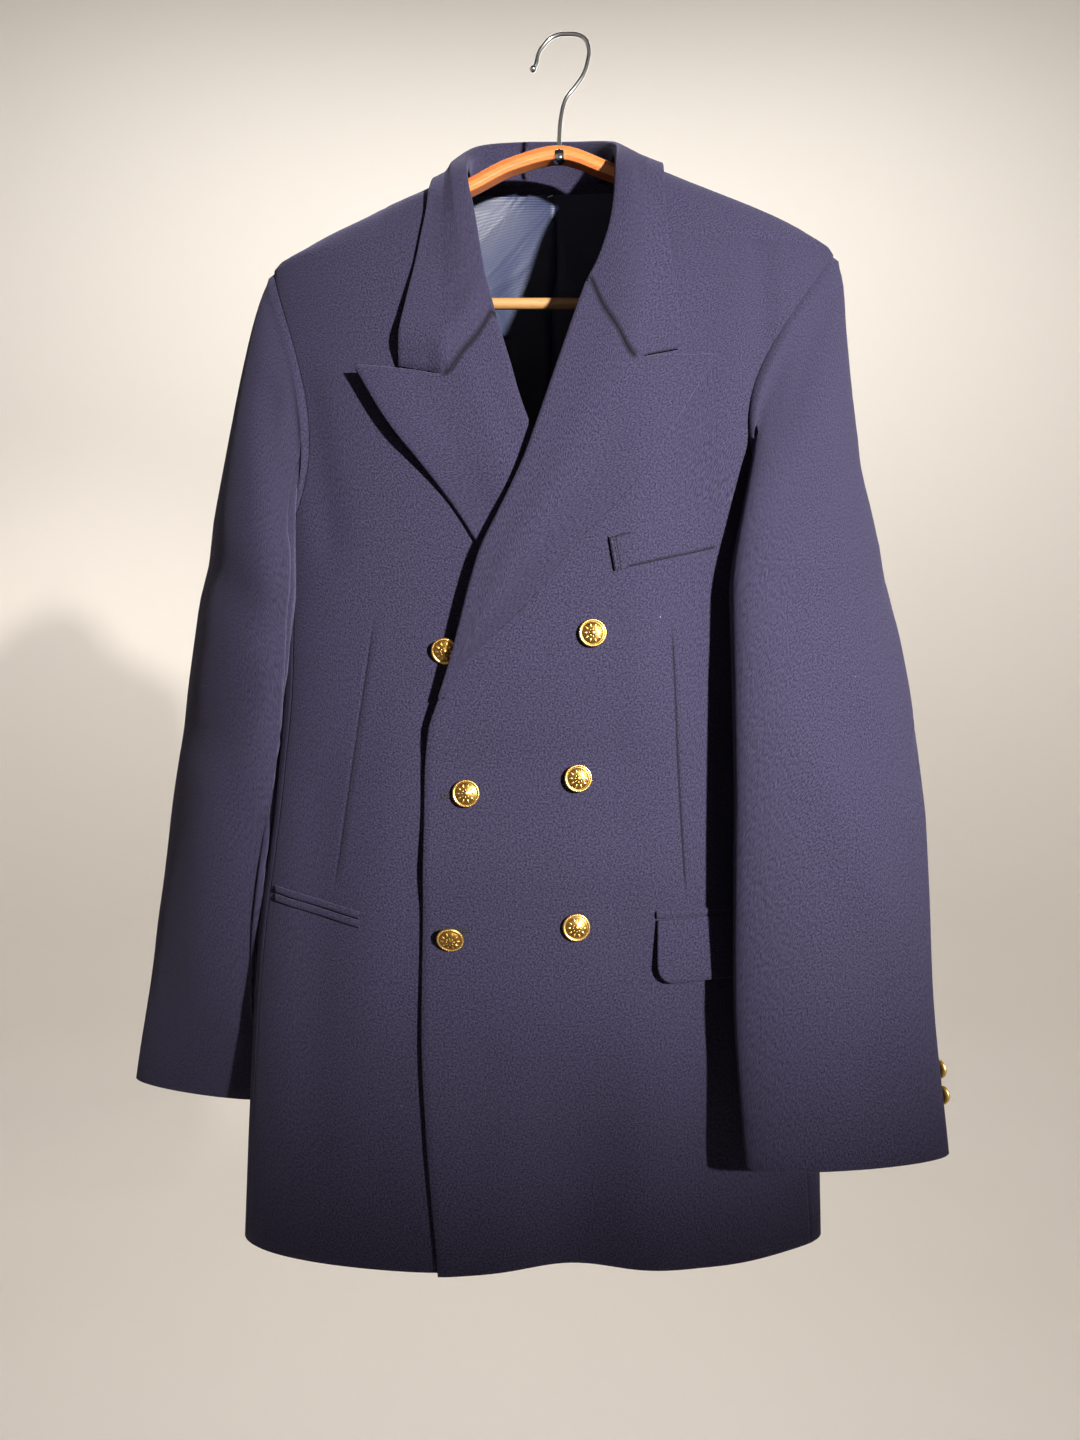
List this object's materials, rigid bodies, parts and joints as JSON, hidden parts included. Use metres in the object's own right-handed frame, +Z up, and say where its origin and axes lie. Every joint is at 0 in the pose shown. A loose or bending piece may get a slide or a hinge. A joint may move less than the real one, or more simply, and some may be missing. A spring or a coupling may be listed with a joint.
{
  "type": "double-breasted blazer on a wooden hanger",
  "caption": "Navy double-breasted blazer with peak lapels, notched collar, welt and flap pockets and brass dome buttons, hanging from the wire hook of a bent wooden hanger.",
  "frame": {"origin": "where the inner top of the wire hook bears on what it hangs from", "axes": "+Z up; -Y the front of the blazer; +X the wearer's left"},
  "size_m": [0.6583, 0.2109, 0.9584],
  "materials": {
    "worsted": "matt worsted twill",
    "lining": "satin",
    "brass": "polished",
    "stained_wood": "varnished",
    "pale_wood": "varnished",
    "hook_wire": "polished"
  },
  "bodies": {
    "root": {"back_left": "worsted", "back_right": "worsted", "breast_welt": "worsted", "button_left_lower": "brass", "button_left_middle": "brass", "button_left_upper": "brass", "button_right_lower": "brass", "button_right_middle": "brass", "button_right_upper": "brass", "collar": "worsted", "cuff_button_left_1": "brass", "cuff_button_left_2": "brass", "cuff_button_right_1": "brass", "cuff_button_right_2": "brass", "flap_left": "worsted", "front_left": "worsted", "front_right": "worsted", "hanger_bar": "stained_wood", "hook": "hook_wire", "jet_left": "worsted", "jet_lower_right": "worsted", "jet_upper_right": "worsted", "lapel_left": "worsted", "lapel_right": "worsted", "lining_back_left": "lining", "lining_back_right": "lining", "side_left": "worsted", "side_right": "worsted", "sleeve_top_left": "worsted", "sleeve_top_right": "worsted", "sleeve_under_left": "worsted", "sleeve_under_right": "worsted", "trouser_bar": "pale_wood"}
  },
  "joints": []
}
